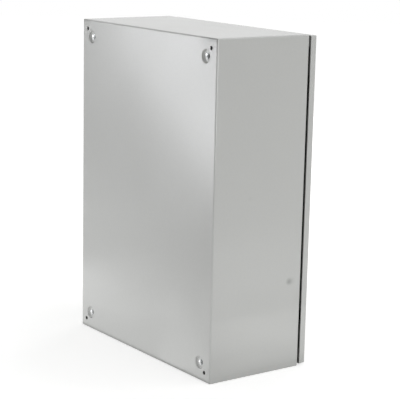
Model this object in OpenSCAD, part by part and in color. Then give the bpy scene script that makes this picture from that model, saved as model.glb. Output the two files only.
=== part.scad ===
// Outdoor wall-mounting steel enclosure: a folded sheet body, a sealed door on two
// concealed hinges, two quarter-turn locks, a mounting plate and a gland plate.
// Millimetres. +Z is up, the door faces -Y and the back, which goes to the wall, faces +Y.
// The hinges are on the -X side and the locks on the +X side. The base lies on z = 0.

/* [Cabinet] */
// Width over the sides
cabinet_w = 500; // [400:5:800]
// Height over the top and bottom
cabinet_h = 700; // [560:5:1000]
// Depth of the body, from the back to the face of its front rim
body_depth = 230; // [200:0.5:300]
// Thickness of the folded sheet steel
sheet = 1.5; // [1.2:0.1:1.8]
// Outside radius of the folded edges
fold_r = 3; // [2.2:0.1:4]

/* [Wall fixings] */
// Diameter of the through hole in each corner of the back
wall_hole_d = 8.5; // [6:0.1:10]
// Distance of the through holes from the edges of the back
wall_hole_inset = 20; // [17:0.5:22]
// Diameter of the pressed dish around each bush
dish_d = 30; // [29:0.5:33]
// Depth of the pressed dishes
dish_depth = 4.3; // [4:0.1:5]
// Distance of the dish centres from the edges of the back
dish_inset = 37.5; // [36:0.5:42]
// Diameter of the mouth of each bush
bush_mouth_d = 14.4; // [12:0.1:15]
// Depth over which the mouth tapers
bush_taper = 3; // [2:0.1:4]
// Diameter of the smooth guide after the taper
bush_guide_d = 10.4; // [9.5:0.1:11]
// Depth of the mouth and the guide together
bush_mouth_depth = 5; // [4.5:0.5:6]
// Wall of the bush around its mouth
bush_rim = 1.3; // [1:0.1:1.6]
// Diameter of the blind hole that takes a wall bracket's screw
bush_hole_d = 8.5; // [6:0.1:9]
// Depth of that blind hole
bush_hole_depth = 10.5; // [8:0.5:12]
// Diameter of each bush inside the body
bush_d = 21; // [20:0.5:24]
// Length of each bush inside the body
bush_l = 17.5; // [16:0.5:30]
// Thread diameter of the stud on each bush
bush_stud_d = 8; // [6:0.5:8]
// How far a stud stands out of its nut
stud_end = 4; // [2:0.5:8]

/* [Mounting plate] */
// Thickness of the mounting plate
plate_t = 2.5; // [2:0.1:4]
// Gap between the mounting plate and the outside of each side
plate_side_gap = 25.5; // [22:0.5:28]
// Gap between the mounting plate and the outside of the top and bottom
plate_end_gap = 15; // [10:0.5:25]
// Clearance of the plate's holes around the studs, on the diameter
plate_hole_play = 2; // [1:0.1:3]

/* [Door] */
// Open seam between the front rim of the body and the edge of the door
seam_gap = 7; // [5:0.1:8]
// Depth of the door's folded edge
door_depth = 15; // [14:0.5:17]
// How much smaller than the body the door is, on each side
door_inset = 2.5; // [1:0.1:4]
// Height of the rain lip around the door opening
lip_h = 10.5; // [8:0.5:12]
// Width of the foamed door seal
seal_w = 10; // [8:0.5:12]
// Gap between the resting seal and the rain lip
seal_gap = 0.3; // [0.2:0.1:1]

/* [Door rails] */
// Width of each rail
rail_w = 20; // [16:0.5:24]
// Height of each rail above the door sheet
rail_h = 12; // [8:0.5:13]
// Sheet thickness of the rails
rail_sheet = 1.25; // [1:0.05:1.5]
// Distance from the lock's axis to the middle of the rail beside it
rail_from_lock = 30; // [30:0.5:45]
// Distance from the ends of the cabinet to the ends of the rails
rail_end = 60; // [45:1:80]
// Diameter of the holes along a rail
rail_hole_d = 5; // [3:0.5:6]
// Spacing of the holes along a rail
rail_pitch = 25; // [15:1:50]

/* [Hinges] */
// Distance of the hinges' middles from the top and bottom
hinge_end = 110; // [90:1:140]
// Diameter of the hinge pins
pin_d = 4.9; // [4:0.1:5]
// Running clearance around a pin, on the radius
pin_fit = 0.05; // [0.02:0.01:0.1]
// Wall of the knuckles around the pin
knuckle_wall = 1.7; // [1.5:0.1:2]
// Height of the body's knuckle
knuckle_h = 14; // [10:0.5:20]
// Height of each ear of the door's leaf
ear_h = 3.5; // [2.5:0.1:5]
// Free play along the pin, at each end of the knuckle
knuckle_gap = 0.3; // [0.2:0.05:0.5]
// Gap between the knuckle and the folded edge of the door
knuckle_side_gap = 0.8; // [0.6:0.1:1.2]
// Gap between the knuckle and the leaf on the door
knuckle_front_gap = 1.3; // [1:0.1:1.5]
// Thickness of the leaf on the door
leaf_t = 2; // [1.5:0.1:2.5]
// Height of the leaf on the door
leaf_h = 50; // [36:1:70]
// How far the leaf reaches past the pin, away from the door's edge
leaf_reach = 9.8; // [6:0.1:10]
// Thickness of the bracket's arm and leg
bracket_t = 3; // [2.5:0.1:3.4]
// Thickness of the bracket's foot
foot_t = 2.5; // [2:0.1:2.6]
// Height of the bracket's foot
foot_h = 56; // [50:1:70]
// Gap between the moving edge of the door and the bracket
sweep_gap = 0.5; // [0.3:0.1:1]
// Gap between the bracket and the door seal
bracket_seal_gap = 1; // [0.5:0.1:2]
// Thread diameter of the screws in the bracket's foot
hinge_screw_d = 5; // [4:0.5:5]
// Spacing of the two screws in a foot
hinge_screw_span = 40; // [32:1:44]

/* [Locks] */
// Distance of the locks' axes from the side of the cabinet
lock_inset = 55; // [52:0.5:60]
// Distance of the locks' axes from the top and bottom
lock_end = 175; // [160:1:220]
// Diameter of the lock's head on the door
lock_head_d = 32; // [28:0.5:36]
// Thickness of the lock's head
lock_head_t = 4; // [3.6:0.1:6]
// Diameter of the lock's body through the door
lock_body_d = 22; // [20:0.5:24]
// Clearance of the door's hole around the lock's body, on the radius
lock_hole_play = 0.25; // [0.1:0.05:0.5]
// Thickness of the seal under the head
lock_seal_t = 1; // [0.5:0.1:2]
// Size of the lock's nut across its flats
lock_nut_af = 30; // [27:0.5:30]
// Thickness of the lock's nut
lock_nut_t = 6; // [4:0.5:8]
// Diameter of the turning barrel
barrel_d = 12; // [12:0.1:14]
// Running clearance around the barrel, on the radius
barrel_fit = 0.08; // [0.03:0.01:0.1]
// Diameter of the barrel's front disc
barrel_disc_d = 18; // [16:0.5:22]
// Thickness of the barrel's front disc
barrel_disc_t = 2.6; // [2:0.1:3]
// Diameter of the key socket
socket_d = 9.6; // [8:0.1:10]
// Depth of the key socket
socket_depth = 9; // [6:0.5:12]
// Diameter of the post in the key socket
post_d = 4.6; // [4:0.1:5]
// Width of the two bits on the post
bit_w = 3; // [2:0.1:3.5]
// Length over the two bits
bit_l = 8.4; // [7:0.1:9]
// Thickness of the cam
cam_t = 3; // [2:0.1:4]
// Width of the cam
cam_w = 16; // [12:0.5:20]
// How far a closed cam reaches behind the front rim
cam_overlap = 11.5; // [8:0.5:16]
// Gap between a closed cam and the front rim
cam_gap = 1; // [0.5:0.1:2]
// Side of the barrel's square drive through the cam
drive_w = 8; // [7.5:0.1:8.2]
// Thread diameter of the cam's screw
cam_screw_d = 6; // [5:0.5:6]
// Length of the cam's screw in the barrel
cam_screw_l = 12; // [8:0.5:14]

/* [Gland plate] */
// Distance of the gland plate from the sides of the cabinet
gland_side = 50; // [45:1:80]
// Distance of the gland plate from the back of the cabinet
gland_back = 50; // [48:1:60]
// Distance of the gland plate from the face of the front rim
gland_front = 19.5; // [15:0.5:30]
// Overlap of the gland plate and the rim of the opening
gland_rim = 28; // [24:0.5:32]
// Thickness of the gland plate
gland_t = 2; // [1.5:0.1:3]
// Thickness of the gland plate's seal
gland_seal_t = 3; // [2:0.5:5]
// Thread diameter of the gland plate's studs
gland_stud_d = 6; // [5:0.5:6]
// Number of studs along each long side
gland_studs_n = 4; // [3:1:6]

/* [Earthing] */
// Height of both earth studs
earth_z = 189; // [180:1:240]
// Distance of the body's earth stud behind the front rim
earth_behind_rim = 31.3; // [25:0.1:60]
// Distance of the door's earth stud from the side of the cabinet
door_earth_inset = 55; // [50:0.5:60]
// Thread diameter of the earth studs
earth_d = 8; // [6:0.5:8]
// Length of the body's earth stud
body_earth_l = 22; // [16:0.5:26]
// Length of the door's earth stud
door_earth_l = 17; // [15:0.5:17.5]
// Diameter of the mark that the stud's weld leaves outside
weld_mark_d = 11; // [6:0.5:14]
// Depth of that mark
weld_mark_depth = 0.25; // [0.1:0.05:0.4]

/* [Hidden] */
$fn = 96;
paint = "#c4c6c0";
zinc = "#b9bcbe";
galvanised = "#a9adaf";
black_foam = "#1d1e1f";
die_cast = "#8d9194";

// Chamfers at the ends of the studs, the lock heads and the barrels
stud_chamfer = 0.8;
lock_head_chamfer = 0.9;
barrel_disc_chamfer = 0.4;
// Small clearance of screws, studs and nuts in their holes, on the radius
thread_play = 0.05;
hole_play = 0.25;
// Overlap of a cutting tool past the face that it cuts
cut = 1;
// Reach of the flat ring around a dish, where the dish joins the back
dish_ring = 2;
lip_corner_r = 6;
gland_corner_r = 8;
gland_seal_step = 2;
lock_boss_gap = 0.3;
disc_gap = 0.15;
disc_recess = 0.3;
pin_head_r = pin_d / 2 + 1.2;
pin_head_h = 1.8;
// Ends of the pins and screws that stand out of what they hold
pin_tail = 1;
thread_end = 1;
foot_heel = 1;
foot_lip_gap = 0.5;
arm_back_gap = 0.2;
leaf_fold_gap = 0.3;

// Depth of the whole, with the lock heads, is centred on the origin
lock_proud = lock_seal_t + lock_head_t;
total_depth = body_depth + seam_gap + door_depth + lock_proud;
y_back = total_depth / 2;
y_rim = y_back - body_depth;

// Levels counted forward from the face of the front rim
door_edge_v = seam_gap;
door_face_v = seam_gap + door_depth;
door_in_v = door_face_v - sheet;
head_v = door_face_v + lock_seal_t;
cam_front_v = -sheet - cam_gap;
cam_back_v = cam_front_v - cam_t;

// The hinge axis, from the hinge side and forward from the front rim
knuckle_r = pin_d / 2 + pin_fit + knuckle_wall;
hinge_u = door_inset + sheet + knuckle_side_gap + knuckle_r;
hinge_v = door_in_v - leaf_t - knuckle_front_gap - knuckle_r;
// The door's folded edge swings around the axis inside this radius
edge_sweep = norm([hinge_u - door_inset, hinge_v - door_edge_v]);
leg_u = hinge_u + edge_sweep + sweep_gap;
// The rim is as wide as the bracket, the seal and the lip need
seal_u = leg_u + bracket_t + bracket_seal_gap;
rim_w = seal_u + seal_w / 2 + sheet / 2;
leaf_u = door_inset + fold_r + leaf_fold_gap;
foot_u = leg_u - foot_heel;
foot_end_u = rim_w - sheet - foot_lip_gap;
foot_screw_u = (leg_u + foot_end_u) / 2;

hinge_zs = [hinge_end, cabinet_h - hinge_end];
lock_zs = [lock_end, cabinet_h - lock_end];
lock_x = cabinet_w / 2 - lock_inset;
cam_l = lock_inset - rim_w + cam_overlap;
rail_x = lock_x - rail_from_lock;

// Depths counted forward from the back
bush_v = dish_depth + sheet;
plate_v = bush_v + bush_l;
plate_front_v = plate_v + plate_t;
spigot_d = bush_mouth_d + 2 * bush_rim;
dish_fold = dish_depth / 2;

gland_w = cabinet_w - 2 * gland_side;
gland_d = body_depth - gland_back - gland_front;
gland_y = y_back - gland_back - gland_d / 2;
gland_top = sheet + gland_seal_t + gland_t;

// Metric sizes that follow from a thread's diameter
function nut_af(d) = 1.6 * d + 0.2;
function nut_h(d) = 0.8 * d;
function washer_d(d) = 2 * d;
function wide_washer_d(d) = 2.7 * d;
function washer_h(d) = 0.2 * d;
function pan_head_d(d) = 1.6 * d;
function pan_head_h(d) = 0.5 * d;
function hex_head_h(d) = 0.7 * d;
function collar_d(d) = 1.4 * d;

// Places

// Local z runs forward, from a point at the given depth
module forward(x, y, z) {
    translate([x, y, z]) rotate([90, 0, 0]) children();
}

// The four corners of the back, the given distance in from its edges, forward from the back
module at_back_corners(inset, v) {
    for (x = [inset - cabinet_w / 2, cabinet_w / 2 - inset], z = [inset, cabinet_h - inset])
        forward(x, y_back - v, z) children();
}

// Hinge side: local x runs in from the side, local y forward from the front rim
module at_hinge(z) {
    translate([-cabinet_w / 2, y_rim, z]) mirror([0, 1, 0]) children();
}

// Lock axis: local z runs forward from the front rim
module at_lock(z) {
    forward(lock_x, y_rim, z) children();
}

module at_hinge_screws() {
    for (z = hinge_zs, side = [-1, 1])
        forward(foot_screw_u - cabinet_w / 2, y_rim, z + side * hinge_screw_span / 2) children();
}

module at_gland_studs() {
    span = gland_w - gland_rim;
    for (i = [0 : gland_studs_n - 1], side = [-1, 1])
        translate([
            span * (i / (gland_studs_n - 1) - 0.5),
            gland_y + side * (gland_d - gland_rim) / 2,
            0
        ]) children();
}

// Shapes that repeat

// Rectangle centred on x, standing on y = 0, with round corners
module round_rect(w, h, r) {
    translate([-w / 2, r]) square([w, h - 2 * r]);
    translate([-w / 2 + r, 0]) square([w - 2 * r, h]);
    for (x = [r - w / 2, w / 2 - r], y = [r, h - r]) translate([x, y]) circle(r);
}

// Box with folded edges, centred on x, standing on z = 0, reaching forward from y = 0
module folded_box(w, d, h, r) {
    intersection() {
        forward(0, 0, 0) linear_extrude(d) round_rect(w, h, r);
        translate([0, -d, 0]) linear_extrude(h) round_rect(w, d, r);
        rotate([90, 0, 90]) linear_extrude(w, center = true)
            translate([-d / 2, 0]) round_rect(d, h, r);
    }
}

module ring(outer_d, inner_d, h) {
    difference() {
        cylinder(h = h, d = outer_d);
        translate([0, 0, -cut]) cylinder(h = h + 2 * cut, d = inner_d);
    }
}

// Straight round bar whose far end has a chamfer
module chamfered_bar(d, h, chamfer) {
    cylinder(h = h - chamfer, d = d);
    translate([0, 0, h - chamfer]) cylinder(h = chamfer, d1 = d, d2 = d - 2 * chamfer);
}

// Hexagon whose corners are turned off at both faces
module hex_block(af, h) {
    corner_r = af / cos(30) / 2;
    drop = (corner_r - af / 2) * tan(30);
    intersection() {
        cylinder(h = h, r = corner_r, $fn = 6);
        rotate_extrude() polygon([
            [0, 0], [af / 2, 0], [corner_r, drop], [corner_r, h - drop], [af / 2, h], [0, h]
        ]);
    }
}

module hex_nut(af, bore_d, h) {
    difference() {
        hex_block(af, h);
        translate([0, 0, -cut]) cylinder(h = h + 2 * cut, d = bore_d);
    }
}

// Nut for a thread, with its face on z = 0
module thread_nut(d) {
    hex_nut(nut_af(d), d + 2 * thread_play, nut_h(d));
}

module thread_washer(d) {
    ring(washer_d(d), d + 2 * hole_play, washer_h(d));
}

// Body

// Wall section of a pressed dish: two quarter bends between the back and the dish's floor
module dish_section() {
    rim_r = dish_d / 2;
    floor_r = rim_r - dish_depth;
    translate([rim_r, 0]) square([dish_ring, sheet]);
    intersection() {
        translate([rim_r, dish_fold]) difference() {
            circle(dish_fold);
            circle(dish_fold - sheet);
        }
        square([rim_r, dish_fold]);
    }
    intersection() {
        translate([floor_r, dish_fold]) difference() {
            circle(dish_fold + sheet);
            circle(dish_fold);
        }
        translate([floor_r, dish_fold]) square(dish_fold + sheet);
    }
    hole_r = spigot_d / 2 + thread_play;
    translate([hole_r, dish_depth]) square([floor_r - hole_r, sheet]);
}

module body_box() {
    inside_r = fold_r - sheet;
    difference() {
        translate([0, y_back, 0]) folded_box(cabinet_w, body_depth, cabinet_h, fold_r);
        translate([0, y_back - sheet, sheet])
            folded_box(cabinet_w - 2 * sheet, body_depth - 2 * sheet, cabinet_h - 2 * sheet, inside_r);
    }
}

// Outline on the front rim, the given distance in from the outside
module rim_outline(inset, r) {
    translate([0, inset]) round_rect(cabinet_w - 2 * inset, cabinet_h - 2 * inset, r);
}

module rain_lip() {
    forward(0, y_rim + sheet, 0) linear_extrude(sheet + lip_h) difference() {
        rim_outline(rim_w - sheet, lip_corner_r);
        rim_outline(rim_w, lip_corner_r - sheet);
    }
}

// Shallow round mark on the hinge side, opposite the earth stud's weld
module weld_mark() {
    ball_r = (weld_mark_d * weld_mark_d / 4 + weld_mark_depth * weld_mark_depth) / (2 * weld_mark_depth);
    translate([-cabinet_w / 2 + weld_mark_depth - ball_r, y_rim + earth_behind_rim, earth_z]) sphere(ball_r);
}

module body_shell() {
    color(paint) {
        difference() {
            body_box();
            forward(0, y_rim + sheet + cut, 0) linear_extrude(sheet + 2 * cut)
                rim_outline(rim_w - sheet / 2, lip_corner_r - sheet / 2);
            at_back_corners(wall_hole_inset, -cut) cylinder(h = sheet + 2 * cut, d = wall_hole_d);
            at_back_corners(dish_inset, -cut)
                cylinder(h = sheet + 2 * cut, d = dish_d + dish_ring);
            at_hinge_screws() translate([0, 0, -sheet - cut])
                cylinder(h = sheet + 2 * cut, d = hinge_screw_d + 2 * hole_play);
            translate([0, gland_y - gland_d / 2 + gland_rim, -cut]) linear_extrude(sheet + 2 * cut)
                round_rect(gland_w - 2 * gland_rim, gland_d - 2 * gland_rim, gland_corner_r);
            weld_mark();
        }
        rain_lip();
        at_back_corners(dish_inset, 0) rotate_extrude() dish_section();
    }
}

// Bore of a bush: a tapered mouth, a smooth guide and the blind hole
module bush_bore() {
    mouth_r = bush_mouth_d / 2;
    guide_r = bush_guide_d / 2;
    hole_r = bush_hole_d / 2;
    end_v = bush_mouth_depth + bush_hole_depth;
    rotate_extrude() polygon([
        [0, -cut], [mouth_r, -cut], [mouth_r, 0], [guide_r, bush_taper],
        [guide_r, bush_mouth_depth], [hole_r, bush_mouth_depth], [hole_r, end_v], [0, end_v]
    ]);
}

// One solid for each corner: spigot, bush and stud, with the blind hole at the back
module mounting_bushes() {
    stud_l = plate_t + washer_h(bush_stud_d) + nut_h(bush_stud_d) + stud_end;
    color(zinc) at_back_corners(dish_inset, dish_depth) difference() {
        union() {
            cylinder(h = sheet + cut, d = spigot_d);
            translate([0, 0, sheet]) cylinder(h = bush_l, d = bush_d);
            translate([0, 0, sheet + bush_l - cut])
                chamfered_bar(bush_stud_d, stud_l + cut, stud_chamfer);
        }
        bush_bore();
    }
}

module mounting_plate() {
    color(galvanised) difference() {
        forward(0, y_back - plate_v, plate_end_gap) linear_extrude(plate_t)
            round_rect(cabinet_w - 2 * plate_side_gap, cabinet_h - 2 * plate_end_gap, fold_r);
        at_back_corners(dish_inset, plate_v - cut)
            cylinder(h = plate_t + 2 * cut, d = bush_stud_d + plate_hole_play);
    }
}

module plate_washers() {
    color(zinc) at_back_corners(dish_inset, plate_front_v) thread_washer(bush_stud_d);
}

module plate_nuts() {
    color(zinc) at_back_corners(dish_inset, plate_front_v + washer_h(bush_stud_d))
        thread_nut(bush_stud_d);
}

// Bent bracket: foot on the rim, leg and arm around the door's moving edge, knuckle on the axis
module hinge_bracket(z) {
    arm_v = hinge_v + arm_back_gap;
    arm_t = knuckle_r - 2 * arm_back_gap;
    color(zinc) at_hinge(z) difference() {
        union() {
            translate([0, 0, -knuckle_h / 2]) linear_extrude(knuckle_h) {
                translate([hinge_u, hinge_v]) circle(knuckle_r);
                translate([hinge_u, arm_v]) square([leg_u + bracket_t - hinge_u, arm_t]);
                translate([leg_u, 0]) square([bracket_t, arm_v + arm_t]);
            }
            translate([foot_u, 0, -foot_h / 2]) cube([foot_end_u - foot_u, foot_t, foot_h]);
        }
        translate([hinge_u, hinge_v, -knuckle_h])
            cylinder(h = 2 * knuckle_h, r = pin_d / 2 + pin_fit);
        for (side = [-1, 1])
            translate([foot_screw_u, foot_t + cut, side * hinge_screw_span / 2]) rotate([90, 0, 0])
                cylinder(h = foot_t + 2 * cut, d = hinge_screw_d + 2 * hole_play);
    }
}

module upper_hinge_bracket() { hinge_bracket(hinge_zs[1]); }
module lower_hinge_bracket() { hinge_bracket(hinge_zs[0]); }

// Pan-head screws with a cross recess, through the feet and the rim
module hinge_screws() {
    shank = foot_t + sheet + nut_h(hinge_screw_d) + thread_end;
    head_d = pan_head_d(hinge_screw_d);
    head_h = pan_head_h(hinge_screw_d);
    slot = [0.7 * head_d, 0.16 * head_d, head_h];
    color(zinc) at_hinge_screws() translate([0, 0, foot_t]) difference() {
        union() {
            translate([0, 0, -shank]) cylinder(h = shank + head_h / 2, d = hinge_screw_d);
            chamfered_bar(head_d, head_h, head_h / 2);
        }
        for (turn = [0, 90]) rotate(turn)
            translate([-slot.x / 2, -slot.y / 2, head_h / 2]) cube(slot);
    }
}

module hinge_nuts() {
    color(zinc) at_hinge_screws() translate([0, 0, -sheet - nut_h(hinge_screw_d)])
        thread_nut(hinge_screw_d);
}

// Body's earth stud: local z runs in from the inside of the hinge side
module at_body_earth(u) {
    translate([u - cabinet_w / 2, y_rim + earth_behind_rim, earth_z]) rotate([0, 90, 0]) children();
}

// Stud with a welded collar at its root
module welded_stud(d, l) {
    chamfered_bar(d, l, stud_chamfer);
    cylinder(h = washer_h(d), d = collar_d(d));
}

module body_earth_stud() {
    color(zinc) at_body_earth(sheet) welded_stud(earth_d, body_earth_l);
}

module body_earth_washer() {
    color(zinc) at_body_earth(sheet + washer_h(earth_d)) thread_washer(earth_d);
}

module body_earth_nut() {
    color(zinc) at_body_earth(sheet + 2 * washer_h(earth_d)) thread_nut(earth_d);
}

module gland_outline(inset) {
    translate([0, gland_y - gland_d / 2 + inset])
        round_rect(gland_w - 2 * inset, gland_d - 2 * inset, gland_corner_r);
}

module gland_seal() {
    color(black_foam) difference() {
        translate([0, 0, sheet]) linear_extrude(gland_seal_t) difference() {
            gland_outline(0);
            gland_outline(gland_rim - gland_seal_step);
        }
        at_gland_studs() cylinder(h = gland_top, d = gland_stud_d + 4 * hole_play);
    }
}

module gland_plate() {
    color(paint) difference() {
        translate([0, 0, sheet + gland_seal_t]) linear_extrude(gland_t) gland_outline(0);
        at_gland_studs() cylinder(h = gland_top + cut, d = gland_stud_d + 4 * hole_play);
    }
}

module gland_studs() {
    d = gland_stud_d;
    stud_l = gland_top - sheet + washer_h(d) + nut_h(d) + stud_end;
    color(zinc) at_gland_studs() translate([0, 0, sheet]) chamfered_bar(d, stud_l, stud_chamfer);
}

module gland_washers() {
    color(zinc) at_gland_studs() translate([0, 0, gland_top]) thread_washer(gland_stud_d);
}

module gland_nuts() {
    color(zinc) at_gland_studs() translate([0, 0, gland_top + washer_h(gland_stud_d)])
        thread_nut(gland_stud_d);
}

// Door

// Pan outline extended behind its open edge, so that only its front edges are folded
module door_block(inset, r) {
    w = cabinet_w - 2 * (door_inset + inset);
    h = cabinet_h - 2 * (door_inset + inset);
    tail = 2 * fold_r;
    intersection() {
        translate([0, y_rim - door_edge_v + tail, door_inset + inset])
            folded_box(w, door_depth - inset + tail, h, r);
        translate([-cabinet_w, y_rim - door_face_v, 0])
            cube([2 * cabinet_w, door_depth + (inset > 0 ? cut : 0), cabinet_h]);
    }
}

module door_panel() {
    color(paint) difference() {
        door_block(0, fold_r);
        door_block(sheet, fold_r - sheet);
        for (z = lock_zs) at_lock(z) translate([0, 0, door_in_v - cut])
            cylinder(h = sheet + 2 * cut, d = lock_body_d + 2 * lock_hole_play);
    }
}

module door_seal() {
    base_v = lip_h + seal_gap;
    color(black_foam) forward(0, y_rim - base_v, 0) linear_extrude(door_in_v - base_v) difference() {
        rim_outline(seal_u, lip_corner_r + seal_w / 2);
        rim_outline(seal_u + seal_w, lip_corner_r);
    }
}

// Perforated channel on the inside of the door
module door_rail(x) {
    rail_l = cabinet_h - 2 * rail_end;
    holes = floor(rail_l / rail_pitch) - 1;
    first = rail_end + (rail_l - (holes - 1) * rail_pitch) / 2;
    web_v = door_in_v - rail_h;
    color(paint) difference() {
        translate([x - rail_w / 2, y_rim - door_in_v, rail_end]) cube([rail_w, rail_h, rail_l]);
        translate([x - rail_w / 2 + rail_sheet, y_rim - door_in_v - cut, rail_end - cut])
            cube([rail_w - 2 * rail_sheet, rail_h - rail_sheet + cut, rail_l + 2 * cut]);
        for (i = [0 : holes - 1])
            forward(x, y_rim - web_v + cut, first + i * rail_pitch)
                cylinder(h = rail_sheet + 2 * cut, d = rail_hole_d);
    }
}

module door_rail_left() { door_rail(-rail_x); }
module door_rail_right() { door_rail(rail_x); }

// Leaf on the door, with an ear above and below the body's knuckle
module hinge_leaf(z) {
    ear_z = knuckle_h / 2 + knuckle_gap;
    leaf_v = door_in_v - leaf_t;
    ear_end_u = hinge_u + knuckle_r - arm_back_gap;
    color(zinc) at_hinge(z) difference() {
        union() {
            translate([leaf_u, leaf_v, -leaf_h / 2])
                cube([hinge_u + leaf_reach - leaf_u, leaf_t, leaf_h]);
            for (side = [-1, 1])
                translate([0, 0, side * (ear_z + ear_h / 2)]) linear_extrude(ear_h, center = true) {
                    translate([hinge_u, hinge_v]) circle(knuckle_r);
                    translate([leaf_u, hinge_v]) square([ear_end_u - leaf_u, door_in_v - hinge_v]);
                }
        }
        translate([hinge_u, hinge_v, -leaf_h]) cylinder(h = 2 * leaf_h, r = pin_d / 2 + thread_play);
    }
}

module upper_hinge_leaf() { hinge_leaf(hinge_zs[1]); }
module lower_hinge_leaf() { hinge_leaf(hinge_zs[0]); }

// Pin dropped in from above, with its head on the upper ear
module hinge_pin(z) {
    reach = knuckle_h / 2 + knuckle_gap + ear_h;
    color(zinc) at_hinge(z) translate([hinge_u, hinge_v, 0]) {
        translate([0, 0, -reach - pin_tail])
            cylinder(h = 2 * reach + pin_tail + pin_head_h / 2, d = pin_d);
        translate([0, 0, reach]) chamfered_bar(2 * pin_head_r, pin_head_h, pin_head_h / 3);
    }
}

module upper_hinge_pin() { hinge_pin(hinge_zs[1]); }
module lower_hinge_pin() { hinge_pin(hinge_zs[0]); }

// Door's earth stud: local z runs back from the inside of the door
module at_door_earth(l) {
    translate([door_earth_inset - cabinet_w / 2, y_rim - door_in_v + l, earth_z])
        rotate([-90, 0, 0]) children();
}

module door_earth_stud() {
    color(zinc) at_door_earth(0) welded_stud(earth_d, door_earth_l);
}

module door_earth_washer() {
    color(zinc) at_door_earth(washer_h(earth_d)) thread_washer(earth_d);
}

module door_earth_nut() {
    color(zinc) at_door_earth(2 * washer_h(earth_d)) thread_nut(earth_d);
}

// Locks

disc_v = head_v + lock_head_t - disc_recess - barrel_disc_t;
housing_v = cam_front_v + lock_boss_gap;

module lock_housing(z) {
    pocket_v = disc_v - disc_gap;
    color(die_cast) at_lock(z) difference() {
        union() {
            translate([0, 0, head_v]) chamfered_bar(lock_head_d, lock_head_t, lock_head_chamfer);
            translate([0, 0, housing_v]) cylinder(h = head_v - housing_v + cut, d = lock_body_d);
        }
        translate([0, 0, housing_v - cut])
            cylinder(h = pocket_v - housing_v + 2 * cut, r = barrel_d / 2 + barrel_fit);
        translate([0, 0, pocket_v]) cylinder(h = lock_head_t, r = barrel_disc_d / 2 + disc_gap);
    }
}

module upper_lock_housing() { lock_housing(lock_zs[1]); }
module lower_lock_housing() { lock_housing(lock_zs[0]); }

module lock_seal(z) {
    color(black_foam) at_lock(z) translate([0, 0, door_face_v])
        ring(lock_head_d, lock_body_d + 2 * thread_play, lock_seal_t);
}

module upper_lock_seal() { lock_seal(lock_zs[1]); }
module lower_lock_seal() { lock_seal(lock_zs[0]); }

module lock_nut(z) {
    color(zinc) at_lock(z) translate([0, 0, door_in_v - lock_nut_t])
        hex_nut(lock_nut_af, lock_body_d + 2 * thread_play, lock_nut_t);
}

module upper_lock_nut() { lock_nut(lock_zs[1]); }
module lower_lock_nut() { lock_nut(lock_zs[0]); }

// Barrel with a double-bit key post in its socket and a square drive for the cam
module lock_barrel(z) {
    front_v = disc_v + barrel_disc_t;
    color(die_cast) at_lock(z) difference() {
        union() {
            difference() {
                union() {
                    translate([0, 0, disc_v])
                        chamfered_bar(barrel_disc_d, barrel_disc_t, barrel_disc_chamfer);
                    translate([0, 0, cam_front_v]) cylinder(h = disc_v - cam_front_v + cut, d = barrel_d);
                }
                translate([0, 0, front_v - socket_depth]) cylinder(h = socket_depth + cut, d = socket_d);
            }
            translate([0, 0, front_v - socket_depth - cut]) {
                cylinder(h = socket_depth + cut / 2, d = post_d);
                translate([-bit_w / 2, -bit_l / 2, 0]) cube([bit_w, bit_l, socket_depth + cut / 2]);
            }
            translate([-drive_w / 2, -drive_w / 2, cam_back_v + lock_boss_gap])
                cube([drive_w, drive_w, cam_t]);
        }
        translate([0, 0, cam_back_v - cut])
            cylinder(h = cut + cam_screw_l + thread_end, r = cam_screw_d / 2 + thread_play);
    }
}

module upper_lock_barrel() { lock_barrel(lock_zs[1]); }
module lower_lock_barrel() { lock_barrel(lock_zs[0]); }

// Cam, hanging down in the open position
module lock_cam(z) {
    drive_hole = drive_w + 4 * thread_play;
    color(zinc) at_lock(z) translate([0, 0, cam_back_v]) linear_extrude(cam_t) difference() {
        union() {
            circle(d = lock_body_d);
            translate([-cam_w / 2, cam_w / 2 - cam_l]) square([cam_w, cam_l - cam_w / 2]);
            translate([0, cam_w / 2 - cam_l]) circle(d = cam_w);
        }
        square(drive_hole, center = true);
    }
}

module upper_lock_cam() { lock_cam(lock_zs[1]); }
module lower_lock_cam() { lock_cam(lock_zs[0]); }

module cam_washer(z) {
    d = cam_screw_d;
    color(zinc) at_lock(z) translate([0, 0, cam_back_v - washer_h(d)])
        ring(wide_washer_d(d), d + 2 * hole_play, washer_h(d));
}

module upper_cam_washer() { cam_washer(lock_zs[1]); }
module lower_cam_washer() { cam_washer(lock_zs[0]); }

module cam_screw(z) {
    d = cam_screw_d;
    head_h = hex_head_h(d);
    seat_v = cam_back_v - washer_h(d);
    color(zinc) at_lock(z) {
        translate([0, 0, seat_v - head_h]) hex_block(nut_af(d), head_h);
        translate([0, 0, seat_v - head_h / 2])
            cylinder(h = head_h / 2 + washer_h(d) + cam_screw_l, d = d);
    }
}

module upper_cam_screw() { cam_screw(lock_zs[1]); }
module lower_cam_screw() { cam_screw(lock_zs[0]); }

body_shell();
mounting_bushes();
mounting_plate();
plate_washers();
plate_nuts();
upper_hinge_bracket();
lower_hinge_bracket();
hinge_screws();
hinge_nuts();
body_earth_stud();
body_earth_washer();
body_earth_nut();
gland_seal();
gland_plate();
gland_studs();
gland_washers();
gland_nuts();
door_panel();
door_seal();
door_rail_left();
door_rail_right();
upper_hinge_leaf();
lower_hinge_leaf();
upper_hinge_pin();
lower_hinge_pin();
door_earth_stud();
door_earth_washer();
door_earth_nut();
upper_lock_housing();
lower_lock_housing();
upper_lock_seal();
lower_lock_seal();
upper_lock_nut();
lower_lock_nut();
upper_lock_barrel();
lower_lock_barrel();
upper_lock_cam();
lower_lock_cam();
upper_cam_washer();
lower_cam_washer();
upper_cam_screw();
lower_cam_screw();
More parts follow.
